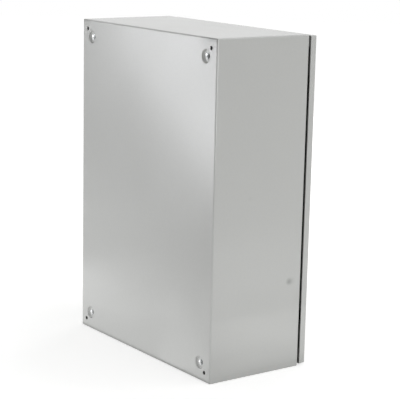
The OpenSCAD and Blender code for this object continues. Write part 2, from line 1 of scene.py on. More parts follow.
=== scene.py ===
"""Looks of an outdoor steel enclosure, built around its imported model.

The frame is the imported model's own: metres, +Z up, the back towards +Y, the door towards -Y,
the hinges on -X and the locks on +X. A value whose name ends in _mm is in millimetres.
"""

import logging
import math
from collections.abc import Mapping, Sequence
from dataclasses import dataclass, replace
from enum import Enum

import bmesh
import bpy
from bpy.types import Material, Mesh, Node, NodeTree, Object, World
from bpy.types import NodeSocket as Socket
from mathutils import Euler, Matrix, Quaternion, Vector


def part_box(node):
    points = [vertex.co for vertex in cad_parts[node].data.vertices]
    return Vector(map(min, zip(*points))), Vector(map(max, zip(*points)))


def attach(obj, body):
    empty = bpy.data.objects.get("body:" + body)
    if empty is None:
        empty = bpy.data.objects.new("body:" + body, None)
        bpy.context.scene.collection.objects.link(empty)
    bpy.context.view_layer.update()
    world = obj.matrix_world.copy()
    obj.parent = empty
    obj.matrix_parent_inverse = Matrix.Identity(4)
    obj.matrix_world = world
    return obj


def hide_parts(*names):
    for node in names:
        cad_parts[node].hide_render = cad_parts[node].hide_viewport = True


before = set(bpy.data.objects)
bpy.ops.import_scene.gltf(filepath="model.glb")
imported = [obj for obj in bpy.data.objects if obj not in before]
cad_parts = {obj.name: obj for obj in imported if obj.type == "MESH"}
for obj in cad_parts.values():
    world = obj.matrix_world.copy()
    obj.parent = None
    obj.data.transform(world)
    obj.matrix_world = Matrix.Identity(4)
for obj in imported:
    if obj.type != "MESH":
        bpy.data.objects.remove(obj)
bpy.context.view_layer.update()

MM = 0.001
WHITE = "#FFFFFF"
COOL = "#FBFCFF"
NOISE_RANGE = (0.3, 0.7)
NOISE_MIDDLE = (0.5, 0.5, 0.0)
log = logging.getLogger("enclosure")

Pair = tuple[float, float]
Point = tuple[float, float, float]
Colour = tuple[float, float, float, float]
Feed = Node | Socket


class Slot(Enum):
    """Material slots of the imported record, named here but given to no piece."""

    POWDER_COAT = "powder_coat"
    ZINC_PLATE = "zinc_plate"
    COPPER_PLATE = "copper_plate"
    SEAL_FOAM = "seal_foam"


class Carrier(Enum):
    """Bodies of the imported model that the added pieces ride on."""

    BODY = "body"
    DOOR = "door"


class Facing(Enum):
    """Turn that takes the +Z axis of a repeated shape to the named direction."""

    FORWARD = (math.pi / 2, 0.0, 0.0)
    BACKWARD = (-math.pi / 2, 0.0, 0.0)
    INWARD_FROM_HINGES = (0.0, math.pi / 2, 0.0)
    UP = (0.0, 0.0, 0.0)


class End(Enum):
    """The two locks, by their place on the door."""

    UPPER = "upper"
    LOWER = "lower"


# Small tools


def linear(code: str) -> Colour:
    """Turns an sRGB hex colour into linear light.

    Args:
        code: Colour as "#rrggbb".

    Returns:
        Linear red, green, blue and an alpha of 1.
    """
    parts = [int(code[i : i + 2], 16) / 255 for i in (1, 3, 5)]
    light = [c / 12.92 if c <= 0.04045 else ((c + 0.055) / 1.055) ** 2.4 for c in parts]
    return (light[0], light[1], light[2], 1.0)


def per_mm(size_mm: float) -> float:
    """Gives the texture scale at which a pattern repeats about every size_mm."""
    return 1 / (size_mm * MM)


def metres(place_mm: Sequence[float]) -> Vector:
    """Turns a place in millimetres into metres."""
    return Vector(place_mm) * MM


def add_node(tree: NodeTree, kind: str, inputs: Mapping | Sequence = (), **settings: object) -> Node:
    """Adds a node to a tree, with its settings, values and links.

    Args:
        tree: Shader or geometry node tree.
        kind: Type name of the node.
        inputs: What fills its inputs, by name or number, or in their order. An output socket is
            linked, a node is linked by its first output, and anything else is a value.
        **settings: Properties of the node.

    Returns:
        The new node.
    """
    node = tree.nodes.new(kind)
    for name, value in settings.items():
        setattr(node, name, value)
    for key, value in inputs.items() if isinstance(inputs, Mapping) else enumerate(inputs):
        feed = value.outputs[0] if isinstance(value, Node) else value
        if isinstance(feed, Socket):
            tree.links.new(feed, node.inputs[key])
        else:
            node.inputs[key].default_value = feed
    return node


def empty_tree(owner: Material | World) -> NodeTree:
    """Gives a material or the world a node tree with nothing in it.

    Args:
        owner: The material or world.

    Returns:
        Its tree.
    """
    owner.use_nodes = True
    owner.node_tree.nodes.clear()
    return owner.node_tree


# Finishes


@dataclass(frozen=True)
class Mark:
    """Oval stain, or oval patch of painted shade, on a part.

    Attributes:
        centre: Its middle, in metres.
        reach_mm: How far from its middle it has faded out, along X, Y and Z.
        strength: How much of the mark's colour shows in the middle.
    """

    centre: Vector
    reach_mm: Point
    strength: float

    def shows(self, tree: NodeTree, place: Socket) -> Node:
        """Gives how much the mark shows: most in its middle, and nothing past its edge.

        Args:
            tree: Tree of the finish.
            place: Place on the piece.

        Returns:
            Node that gives the stain's share.
        """
        reach = metres(self.reach_mm)
        offset = add_node(tree, "ShaderNodeVectorMath", (place, self.centre), operation="SUBTRACT")
        share = add_node(tree, "ShaderNodeVectorMath", (offset, reach), operation="DIVIDE")
        away = add_node(tree, "ShaderNodeVectorMath", (share,), operation="LENGTH").outputs["Value"]
        fade = (away, 0.0, 1.0, self.strength, 0.0)
        return add_node(tree, "ShaderNodeMapRange", fade, interpolation_type="SMOOTHSTEP")


@dataclass(frozen=True)
class Looks:
    """What a finish looks like, as values or as what feeds them.

    Attributes:
        layers: Colours over the finish's first colour, each after what gives its share.
        roughness: Its roughness.
        metallic: How metallic it is.
        height: Its relief, if it has one.
    """

    layers: list[tuple[Feed, str]]
    roughness: Feed | float
    metallic: Feed | float = 1.0
    height: Feed | None = None


@dataclass(frozen=True)
class Finish:
    """A finish, built from the looks that each kind gives it.

    Attributes:
        name: Name of its material.
        colour: Its first colour.
        relief_mm: Depth of its relief.
        ior: Its index of refraction, which metals leave at the default.
    """

    name: str
    colour: str
    relief_mm: float = 0.0
    ior: float = 1.5

    def looks(self, tree: NodeTree, place: Socket) -> Looks:
        """Gives the looks of the finish, on its tree and by the place on the piece."""
        raise NotImplementedError

    def material(self) -> Material:
        """Builds the finish.

        Returns:
            Its material.
        """
        material = bpy.data.materials.new(self.name)
        tree = empty_tree(material)
        looks = self.looks(tree, add_node(tree, "ShaderNodeTexCoord").outputs["Object"])
        colour = linear(self.colour)
        for share, over in looks.layers:
            mix = add_node(tree, "ShaderNodeMix", {0: share, 6: colour, 7: linear(over)}, data_type="RGBA")
            colour = mix.outputs[2]
        feeds = {
            "Base Color": colour,
            "Metallic": looks.metallic,
            "Roughness": looks.roughness,
            "IOR": self.ior,
        }
        if looks.height is not None:
            relief = {"Distance": self.relief_mm * MM, "Height": looks.height}
            feeds["Normal"] = add_node(tree, "ShaderNodeBump", relief)
        shader = add_node(tree, "ShaderNodeBsdfPrincipled", feeds)
        add_node(tree, "ShaderNodeOutputMaterial", {"Surface": shader})
        return material


@dataclass(frozen=True)
class PowderCoat(Finish):
    """Polyester powder coat, sprayed and baked on steel.

    The eye sees an even light grey with a soft gloss. The gloss drifts a little over a hand's
    width, and a fine orange peel keeps reflections from being sharp. The real peel is about
    1 mm wide, and it is drawn wider here so that it shows.
    """

    name: str = "powder_coat_light_grey"
    colour: str = "#C7C8C6"
    thin_colour: str = "#C2C3C1"
    stain_and_shade_colour: str = "#7C7D7B"
    roughness: Pair = (0.2, 0.25)
    relief_mm: float = 0.012
    peel_mm: float = 3.0
    speckle_mm: float = 5.0
    cloud_mm: float = 190.0
    marks: tuple[Mark, ...] = ()

    def looks(self, tree: NodeTree, place: Socket) -> Looks:
        """Gives a speckled coat with its peel, its stains and its painted shade.

        Args:
            tree: Tree of the finish.
            place: Place on the piece.

        Returns:
            The looks.
        """
        clouds, speckle, peel = (
            add_node(tree, "ShaderNodeTexNoise", {"Vector": place, "Scale": per_mm(size), "Detail": detail})
            for size, detail in ((self.cloud_mm, 2.0), (self.speckle_mm, 4.0), (self.peel_mm, 1.0))
        )
        gloss = add_node(tree, "ShaderNodeMapRange", (clouds, *NOISE_RANGE, *self.roughness))
        # Marks darken the coat: the weld and scuff marks are real stains, the corner patches are painted
        # shade.
        stains_and_shade = [(mark.shows(tree, place), self.stain_and_shade_colour) for mark in self.marks]
        return Looks([(speckle, self.thin_colour), *stains_and_shade], gloss, metallic=0.0, height=peel)


@dataclass(frozen=True)
class ZincPlate(Finish):
    """Bright zinc electroplate, clear passivated, on turned or pressed steel.

    The eye sees a cool silver with a low mottle left by the bath and small changes of gloss.
    """

    name: str = "zinc_plate_clear"
    colour: str = "#CFD2D3"
    mottle_colour: str = "#B9BDC0"
    roughness: Pair = (0.22, 0.36)
    relief_mm: float = 0.006
    mottle_mm: float = 3.5
    grain_mm: float = 0.7

    def looks(self, tree: NodeTree, place: Socket) -> Looks:
        """Gives a mottled plate with a fine grain.

        Args:
            tree: Tree of the finish.
            place: Place on the piece.

        Returns:
            The looks.
        """
        mottle, grain = (
            add_node(tree, "ShaderNodeTexNoise", {"Vector": place, "Scale": per_mm(size), "Detail": detail})
            for size, detail in ((self.mottle_mm, 3.0), (self.grain_mm, 1.0))
        )
        gloss = add_node(tree, "ShaderNodeMapRange", (mottle, *NOISE_RANGE, *self.roughness))
        return Looks([(mottle, self.mottle_colour)], gloss, height=grain)


@dataclass(frozen=True)
class BlackZinc(ZincPlate):
    """Zinc plating with a black passivation.

    The eye sees a satin, almost black metal, a shade browner where the film is thin.
    """

    name: str = "black_zinc_plate"
    colour: str = "#26272A"
    mottle_colour: str = "#2E2C2A"
    roughness: Pair = (0.42, 0.55)


@dataclass(frozen=True)
class PaintedBush(ZincPlate):
    """Zinc-plated bush whose rear ring was coated together with the back of the body.

    The eye sees a grey ring, flush with the floor of the dish, around a bright turned mouth. The
    threaded bore behind it was masked from the paint, and painted shade darkens it towards its depth.
    """

    name: str = "zinc_plate_masked_bush"
    colour: str = "#ECEDED"
    mottle_colour: str = "#DFE1E2"
    roughness: Pair = (0.16, 0.26)
    paint: str = "#C7C8C6"
    paint_roughness: float = 0.4
    bore_shade_colour: str = "#2E3032"
    ring_y: float = 0.0
    paint_film_mm: float = 0.05
    bores: tuple[Mark, ...] = ()

    def looks(self, tree: NodeTree, place: Socket) -> Looks:
        """Gives the plate with painted shade in its bores and paint on its rear ring.

        Args:
            tree: Tree of the finish.
            place: Place on the piece.

        Returns:
            The looks.
        """
        plate = super().looks(tree, place)
        paint_end = self.ring_y - self.paint_film_mm * MM
        depth = add_node(tree, "ShaderNodeSeparateXYZ", (place,)).outputs["Y"]
        bare = add_node(tree, "ShaderNodeMath", (depth, paint_end), operation="LESS_THAN")
        painted = add_node(tree, "ShaderNodeMath", (1.0, bare), operation="SUBTRACT")
        gloss = add_node(tree, "ShaderNodeMix", {0: bare, 2: self.paint_roughness, 3: plate.roughness})
        # Painted shade: each bore is darkened towards its depth.
        bore_shade = [(bore.shows(tree, place), self.bore_shade_colour) for bore in self.bores]
        layers = [*plate.layers, *bore_shade, (painted, self.paint)]
        return Looks(layers, gloss, metallic=bare, height=plate.height)


@dataclass(frozen=True)
class GalvanisedSheet(Finish):
    """Hot-dip galvanised sheet, rolled flat.

    The eye sees a blue-grey metal with faint frost-like spangles about a finger wide.
    """

    name: str = "galvanised_sheet"
    colour: str = "#A3A8AC"
    light_colour: str = "#BBC0C3"
    roughness: Pair = (0.3, 0.46)
    spangle_mm: float = 13.0
    frost_mm: float = 2.0
    frost_share: float = 0.35

    def looks(self, tree: NodeTree, place: Socket) -> Looks:
        """Gives a sheet of spangles, each with its own tone and gloss.

        Args:
            tree: Tree of the finish.
            place: Place on the piece.

        Returns:
            The looks.
        """
        spangles = add_node(tree, "ShaderNodeTexVoronoi", {"Vector": place, "Scale": per_mm(self.spangle_mm)})
        crystal = add_node(tree, "ShaderNodeSeparateColor", (spangles.outputs["Color"],)).outputs
        frost = add_node(
            tree, "ShaderNodeTexNoise", {"Vector": place, "Scale": per_mm(self.frost_mm), "Detail": 3.0}
        )
        tone = add_node(tree, "ShaderNodeMix", {0: self.frost_share, 2: crystal["Red"], 3: frost})
        gloss = add_node(tree, "ShaderNodeMapRange", (crystal["Green"], 0.0, 1.0, *self.roughness))
        return Looks([(tone, self.light_colour)], gloss)


@dataclass(frozen=True)
class CopperPlate(Finish):
    """Thin copper flash on steel weld studs.

    The eye sees a warm pink metal that has dulled to brown in small patches.
    """

    name: str = "copper_plate_weld_stud"
    colour: str = "#D09A78"
    tarnish_colour: str = "#97674B"
    roughness: Pair = (0.26, 0.45)
    tarnish_mm: float = 2.5
    tarnish_range: Pair = (0.42, 0.68)

    def looks(self, tree: NodeTree, place: Socket) -> Looks:
        """Gives a copper film with duller, tarnished patches.

        Args:
            tree: Tree of the finish.
            place: Place on the piece.

        Returns:
            The looks.
        """
        clouds = add_node(
            tree, "ShaderNodeTexNoise", {"Vector": place, "Scale": per_mm(self.tarnish_mm), "Detail": 4.0}
        )
        patches = add_node(tree, "ShaderNodeMapRange", (clouds, *self.tarnish_range, 0.0, 1.0))
        gloss = add_node(tree, "ShaderNodeMapRange", (patches, 0.0, 1.0, *self.roughness))
        return Looks([(patches, self.tarnish_colour)], gloss)


@dataclass(frozen=True)
class SealFoam(Finish):
    """Two-part polyurethane foam, poured as a bead and left to rise.

    The eye sees a matt black skin with fine pores and slightly greyer high spots.
    """

    name: str = "foamed_polyurethane_black"
    colour: str = "#151617"
    worn_colour: str = "#232425"
    roughness: float = 0.82
    relief_mm: float = 0.12
    pore_mm: float = 1.1
    patch_mm: float = 22.0

    def looks(self, tree: NodeTree, place: Socket) -> Looks:
        """Gives the foam's skin with its pores and greyer patches.

        Args:
            tree: Tree of the finish.
            place: Place on the piece.

        Returns:
            The looks.
        """
        pores = add_node(tree, "ShaderNodeTexVoronoi", {"Vector": place, "Scale": per_mm(self.pore_mm)})
        patches = add_node(
            tree, "ShaderNodeTexNoise", {"Vector": place, "Scale": per_mm(self.patch_mm), "Detail": 3.0}
        )
        height = pores.outputs["Distance"]
        return Looks([(patches, self.worn_colour)], self.roughness, metallic=0.0, height=height)


@dataclass(frozen=True)
class DieCast(Finish):
    """Zinc die casting, tumbled and satin plated.

    The eye sees a soft grey metal with a fine tumbled grain, whose hollows are darker and duller.
    """

    name: str = "satin_zinc_die_cast"
    colour: str = "#989B9E"
    crest_colour: str = "#B4B7B9"
    roughness: Pair = (0.42, 0.3)
    relief_mm: float = 0.015
    grain_mm: float = 1.4

    def looks(self, tree: NodeTree, place: Socket) -> Looks:
        """Gives the cast grain.

        Args:
            tree: Tree of the finish.
            place: Place on the piece.

        Returns:
            The looks.
        """
        grain = add_node(
            tree, "ShaderNodeTexNoise", {"Vector": place, "Scale": per_mm(self.grain_mm), "Detail": 3.0}
        )
        gloss = add_node(tree, "ShaderNodeMapRange", (grain, *NOISE_RANGE, *self.roughness))
        return Looks([(grain, self.crest_colour)], gloss, height=grain)


@dataclass(frozen=True)
class FinishSet:
    """Finishes that the sub-assemblies share; each part gets a powder coat of its own from paint."""

    paint: PowderCoat
    zinc: Material
    black_zinc: Material
    copper: Material
    foam: Material
    cast: Material

    @classmethod
    def made(cls) -> "FinishSet":
        """Makes the shared finishes.

        Returns:
            The set of them.
        """
        return cls(
            paint=PowderCoat(),
            zinc=ZincPlate().material(),
            black_zinc=BlackZinc().material(),
            copper=CopperPlate().material(),
            foam=SealFoam().material(),
            cast=DieCast().material(),
        )


def dress(material: Material, *nodes: str) -> None:
    """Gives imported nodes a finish.

    Args:
        material: The finish.
        *nodes: Names of the nodes.
    """
    for name in nodes:
        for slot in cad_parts[name].material_slots:
            slot.material = material
        log.info("%s finished in %s", name, material.name)


# Shapes that repeat or follow a path


@dataclass
class Recipe:
    """A Geometry Nodes tree that turns a seed mesh into a piece.

    Attributes:
        tree: The tree.
        given: Its input node.
    """

    tree: NodeTree
    given: Node

    @classmethod
    def named(
        cls, name: str, numbers: Sequence[str], vectors: Sequence[str] = (), counts: Sequence[str] = ()
    ) -> "Recipe":
        """Starts a tree with named inputs.

        Args:
            name: Name of the tree.
            numbers: Names of the inputs that are numbers.
            vectors: Names of the inputs that are vectors.
            counts: Names of the inputs that are whole numbers.

        Returns:
            The recipe, ready for its nodes.
        """
        tree = bpy.data.node_groups.new(name, "GeometryNodeTree")
        inputs = {
            "NodeSocketGeometry": ("Seed",),
            "NodeSocketFloat": numbers,
            "NodeSocketVector": vectors,
            "NodeSocketInt": counts,
            "NodeSocketMaterial": ("Finish",),
        }
        for kind, labels in inputs.items():
            for label in labels:
                tree.interface.new_socket(label, in_out="INPUT", socket_type=kind)
        tree.interface.new_socket("Piece", in_out="OUTPUT", socket_type="NodeSocketGeometry")
        return cls(tree, add_node(tree, "NodeGroupInput"))

    def size(self, name: str) -> Socket:
        """Gives the socket of a named input."""
        return self.given.outputs[name]

    def close(self, shape: Feed) -> None:
        """Ends the tree in real geometry that has its finish.

        Args:
            shape: What gives the finished shape.
        """
        real = add_node(self.tree, "GeometryNodeRealizeInstances", {0: shape})
        smooth = add_node(self.tree, "GeometryNodeSetShadeSmooth", {0: real})
        finished = add_node(
            self.tree, "GeometryNodeSetMaterial", {0: smooth, "Material": self.size("Finish")}
        )
        add_node(self.tree, "NodeGroupOutput", {0: finished})

    def make(self, name: str, seed: Mesh, finish: Material, **sizes: object) -> Object:
        """Runs the tree on a seed mesh and keeps the result as a plain mesh.

        Args:
            name: Name of the piece.
            seed: Mesh that the tree starts from.
            finish: Material of the piece.
            **sizes: Input names, with underscores for spaces, and their values.

        Returns:
            The piece, at the origin.
        """
        piece = bpy.data.objects.new(name, seed)
        bpy.context.scene.collection.objects.link(piece)
        modifier = piece.modifiers.new(name, "NODES")
        modifier.node_group = self.tree
        values = {label.replace("_", " "): value for label, value in sizes.items()}
        values["Finish"] = finish
        for item in self.tree.interface.items_tree:
            if item.in_out == "INPUT" and item.name in values:
                modifier[item.identifier] = values[item.name]
        depsgraph = bpy.context.evaluated_depsgraph_get()
        mesh = bpy.data.meshes.new_from_object(piece.evaluated_get(depsgraph), depsgraph=depsgraph)
        piece.modifiers.remove(modifier)
        piece.data = mesh
        mesh.name = name
        log.info("%s made with %d faces", name, len(mesh.polygons))
        return piece


def seed_points(name: str, points: Sequence[Vector], closed: bool = False) -> Mesh:
    """Makes the seed of a recipe.

    Args:
        name: Name of the mesh.
        points: Its points.
        closed: Whether edges join the points into a loop.

    Returns:
        A mesh of points, or of a closed outline.
    """
    mesh = bpy.data.meshes.new(name)
    count = len(points)
    edges = [(i, (i + 1) % count) for i in range(count)] if closed else []
    mesh.from_pydata([tuple(p) for p in points], edges, [])
    return mesh


def carry(piece: Object, carrier: Carrier) -> None:
    """Makes an added piece ride on a body."""
    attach(piece, carrier.value)


@dataclass(frozen=True)
class Thread:
    """Metric thread on the free end of a stud or in a hole.

    Attributes:
        radius: Radius of the plain bar or hole that carries it, in metres.
        pitch_mm: Rise in one turn.
        ridge_mm: Half width of the ridge, of which about half stands out.
    """

    radius: float
    pitch_mm: float
    ridge_mm: float = 0.42

    @staticmethod
    def recipe(turn_steps: int = 24, ridge_sides: int = 4) -> Recipe:
        """Builds the tree: a helix with an angular ridge, repeated on the seed's points.

        Args:
            turn_steps: Steps in one turn of the helix.
            ridge_sides: Sides of the ridge's section.

        Returns:
            The recipe of a thread.
        """
        made = Recipe.named("thread_ridge", ("Radius", "Pitch", "Turns", "Ridge"), vectors=("Facing",))
        tree = made.tree
        turns = made.size("Turns")
        radius = made.size("Radius")
        rise = add_node(tree, "ShaderNodeMath", (made.size("Pitch"), turns), operation="MULTIPLY")
        helix = add_node(
            tree,
            "GeometryNodeCurveSpiral",
            {
                "Resolution": turn_steps,
                "Rotations": turns,
                "Start Radius": radius,
                "End Radius": radius,
                "Height": rise,
            },
        )
        ridge = add_node(
            tree,
            "GeometryNodeCurvePrimitiveCircle",
            {"Resolution": ridge_sides, "Radius": made.size("Ridge")},
        )
        thread = add_node(
            tree, "GeometryNodeCurveToMesh", {"Curve": helix, "Profile Curve": ridge, "Fill Caps": True}
        )
        turn = add_node(tree, "FunctionNodeEulerToRotation", {0: made.size("Facing")})
        copies = add_node(
            tree,
            "GeometryNodeInstanceOnPoints",
            {"Points": made.size("Seed"), "Instance": thread, "Rotation": turn},
        )
        made.close(copies)
        return made

    def cut(
        self,
        recipe: Recipe,
        name: str,
        starts: Sequence[Vector],
        length: float,
        facing: Facing,
        finish: Material,
    ) -> Object:
        """Makes this thread at one or more places.

        Args:
            recipe: The thread's tree.
            name: Name of the piece.
            starts: Where each thread starts, on its axis.
            length: How far each thread runs, in metres.
            facing: Which way each thread runs.
            finish: Material of the thread.

        Returns:
            The threads, as one piece.
        """
        pitch = self.pitch_mm * MM
        margin = self.ridge_mm * MM
        inset = Vector((0, 0, margin))
        inset.rotate(Euler(facing.value))
        return recipe.make(
            name,
            seed_points(name, [start + inset for start in starts]),
            finish,
            Radius=self.radius,
            Pitch=pitch,
            Turns=(length - 2 * margin) / pitch,
            Ridge=margin,
            Facing=facing.value,
        )


@dataclass(frozen=True)
class EarthStud:
    """Earth stud, welded to the body or the door.

    Attributes:
        carrier: What it is welded to.
        facing: Which way it points.
        axis: Number of the axis that it points along.
        radius_mm: Radius of the stud.
        pitch_mm: Rise of its thread in one turn.
    """

    carrier: Carrier
    facing: Facing
    axis: int
    radius_mm: float = 4.0
    pitch_mm: float = 1.25

    def cut_thread(self, recipe: Recipe, copper: Material) -> None:
        """Threads the stud past its nut.

        Args:
            recipe: Tree of the threads.
            copper: Finish of the thread.
        """
        body = self.carrier.value
        lo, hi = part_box(f"{body}_earth_stud")
        start = (lo + hi) / 2
        start[self.axis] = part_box(f"{body}_earth_nut")[1][self.axis]
        length = hi[self.axis] - start[self.axis]
        thread = Thread(self.radius_mm * MM, self.pitch_mm)
        piece = thread.cut(recipe, f"{body}_earth_thread", [start], length, self.facing, copper)
        carry(piece, self.carrier)


# Sub-assemblies


def corners(lo: Vector, hi: Vector, inset: float, y: float) -> list[Vector]:
    """Gives the four corners of a box's outline seen along Y.

    Args:
        lo: Lowest corner of the box.
        hi: Highest corner of the box.
        inset: How far in from the edges.
        y: Depth of the points.

    Returns:
        The four points.
    """
    xs = (lo.x + inset, hi.x - inset)
    zs = (lo.z + inset, hi.z - inset)
    return [Vector((x, y, z)) for x in xs for z in zs]


@dataclass
class SheetBody:
    """Folded body with its mounting plate, gland plate, hinge brackets and earth stud.

    Attributes:
        bush_radius_mm: Radius of a bush, which sets its centre from the box of all four.
        bush_stud_radius_mm: Radius of the stud on a bush.
        bush_hole_radius_mm: Radius of the blind hole in a bush.
        bush_mouth_mm: Depth of the smooth mouth before that hole.
        bush_hole_mm: Depth of the blind hole.
        bush_shade_depth_mm: Depth of the darkest painted shade in a bush's bore.
        bush_shade_reach_mm: How far from there the painted shade has faded out.
        bush_bore_shade: Painted shade per bore: low and high at the hinges, then low and high at the locks.
        gland_stud_radius_mm: Radius of a gland plate's stud.
        gland_studs: Studs along each long side of the gland plate.
        scuff_from_back_mm: Distance of a faint scuff from the back, on the hinge side.
        scuff_height_mm: Height of that scuff.
    """

    bush_radius_mm: float = 10.5
    bush_stud_radius_mm: float = 4.0
    bush_hole_radius_mm: float = 4.25
    bush_mouth_mm: float = 5.0
    bush_hole_mm: float = 10.5
    bush_shade_depth_mm: float = 9.0
    bush_shade_reach_mm: float = 13.0
    bush_bore_shade: tuple[float, ...] = (0.75, 1.0, 0.5, 0.25)
    gland_stud_radius_mm: float = 3.0
    gland_studs: int = 4
    scuff_from_back_mm: float = 89.6
    scuff_height_mm: float = 376.0

    def marks(self) -> tuple[Mark, ...]:
        """Places the stains and the painted shade, each by its offset in millimetres from what it lies by.

        Returns:
            A weld's stain and its smear, a scuff, and painted shade under the back's two top corners.
        """
        stud_lo, stud_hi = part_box("body_earth_stud")
        lo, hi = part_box("body_shell")
        weld = Vector((lo.x, (stud_lo.y + stud_hi.y) / 2, (stud_lo.z + stud_hi.z) / 2))
        scuff = Vector((lo.x, hi.y - self.scuff_from_back_mm * MM, self.scuff_height_mm * MM))
        hinge_corner = Vector((lo.x, hi.y, hi.z))
        lock_corner = hi
        return (
            Mark(weld, reach_mm=(10.5, 10.5, 10.5), strength=0.55),
            Mark(weld + metres((0, -7, 0)), reach_mm=(12.0, 12.0, 12.0), strength=0.18),
            Mark(scuff, reach_mm=(9.0, 9.0, 9.0), strength=0.05),
            # Painted shade: darker patches just under the back's two top corners, where the folds meet.
            Mark(hinge_corner + metres((16, 0, -2)), reach_mm=(34, 2.5, 9), strength=0.65),
            Mark(hinge_corner + metres((26, 0, -6)), reach_mm=(50, 2.5, 30), strength=0.3),
            Mark(lock_corner + metres((-12, 0, -2)), reach_mm=(26, 2.5, 8), strength=0.45),
        )

    def build(self, finishes: FinishSet, thread: Recipe) -> None:
        """Dresses the body's nodes and adds its threads.

        Args:
            finishes: Finishes that the sub-assemblies share.
            thread: Tree of the threads.
        """
        dress(paint_for("body", finishes.paint, self.marks()), "body_shell")
        dress(paint_for("gland_plate", finishes.paint), "gland_plate")
        dress(GalvanisedSheet().material(), "mounting_plate")
        dress(
            finishes.zinc,
            "plate_washers", "plate_nuts", "hinge_screws", "hinge_nuts", "body_earth_washer",
            "body_earth_nut", "gland_washers", "gland_nuts",
        )
        dress(finishes.black_zinc, "upper_hinge_bracket", "lower_hinge_bracket")
        dress(finishes.copper, "gland_studs", "body_earth_stud")
        dress(finishes.foam, "gland_seal")
        bush = self.bush_finish(finishes.paint).material()
        dress(bush, "mounting_bushes")
        self.bush_threads(thread, finishes.zinc, bush)
        self.gland_threads(thread, finishes.copper)
        EarthStud(Carrier.BODY, Facing.INWARD_FROM_HINGES, axis=0).cut_thread(thread, finishes.copper)

    def bush_finish(self, paint: PowderCoat) -> PaintedBush:
        """Chooses the finish of the bushes, with painted shade in their bores.

        Args:
            paint: Powder coat of the body.

        Returns:
            The finish.
        """
        ring_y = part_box("mounting_bushes")[1].y
        # Painted shade in the bores, darkest at this depth and fading outward.
        middles = self.bush_axes(ring_y - self.bush_shade_depth_mm * MM)
        reach = (self.bush_shade_reach_mm,) * 3
        bores = tuple(Mark(middle, reach, bore_shade) for middle, bore_shade in zip(middles, self.bush_bore_shade))
        return PaintedBush(paint=paint.colour, ring_y=ring_y, bores=bores)

    def bush_axes(self, y: float) -> list[Vector]:
        """Gives the points on the four bushes' axes at one depth."""
        return corners(*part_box("mounting_bushes"), self.bush_radius_mm * MM, y)

    def bush_threads(self, recipe: Recipe, zinc: Material, bore: Material) -> None:
        """Threads the bushes' studs in front of their nuts, and the blind holes behind them.

        Args:
            recipe: Tree of the threads.
            zinc: Finish of the studs.
            bore: Finish of the blind holes.
        """
        lo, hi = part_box("mounting_bushes")
        nut_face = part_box("plate_nuts")[0].y
        mouth_end = hi.y - self.bush_mouth_mm * MM
        stud = Thread(self.bush_stud_radius_mm * MM, pitch_mm=1.25)
        hole = Thread(self.bush_hole_radius_mm * MM, pitch_mm=1.5)
        for name, thread, start_y, length, finish in (
            ("bush_stud_threads", stud, nut_face, nut_face - lo.y, zinc),
            ("bush_hole_threads", hole, mouth_end, self.bush_hole_mm * MM, bore),
        ):
            piece = thread.cut(recipe, name, self.bush_axes(start_y), length, Facing.FORWARD, finish)
            carry(piece, Carrier.BODY)

    def gland_threads(self, recipe: Recipe, copper: Material) -> None:
        """Threads the gland plate's studs above their nuts.

        Args:
            recipe: Tree of the threads.
            copper: Finish of the threads.
        """
        lo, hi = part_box("gland_studs")
        nut_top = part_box("gland_nuts")[1].z
        radius = self.gland_stud_radius_mm * MM
        step = (hi.x - lo.x - 2 * radius) / (self.gland_studs - 1)
        starts = [
            Vector((lo.x + radius + i * step, y, nut_top))
            for i in range(self.gland_studs)
            for y in (lo.y + radius, hi.y - radius)
        ]
        stud = Thread(radius, pitch_mm=1.0, ridge_mm=0.36)
        threads = stud.cut(recipe, "gland_stud_threads", starts, hi.z - nut_top, Facing.UP, copper)
        carry(threads, Carrier.BODY)


def paint_for(part: str, paint: PowderCoat, marks: tuple[Mark, ...] = ()) -> Material:
    """Builds the powder coat of one part, with its stains if it has any."""
    return replace(paint, name=f"powder_coat_{part}", marks=marks).material()


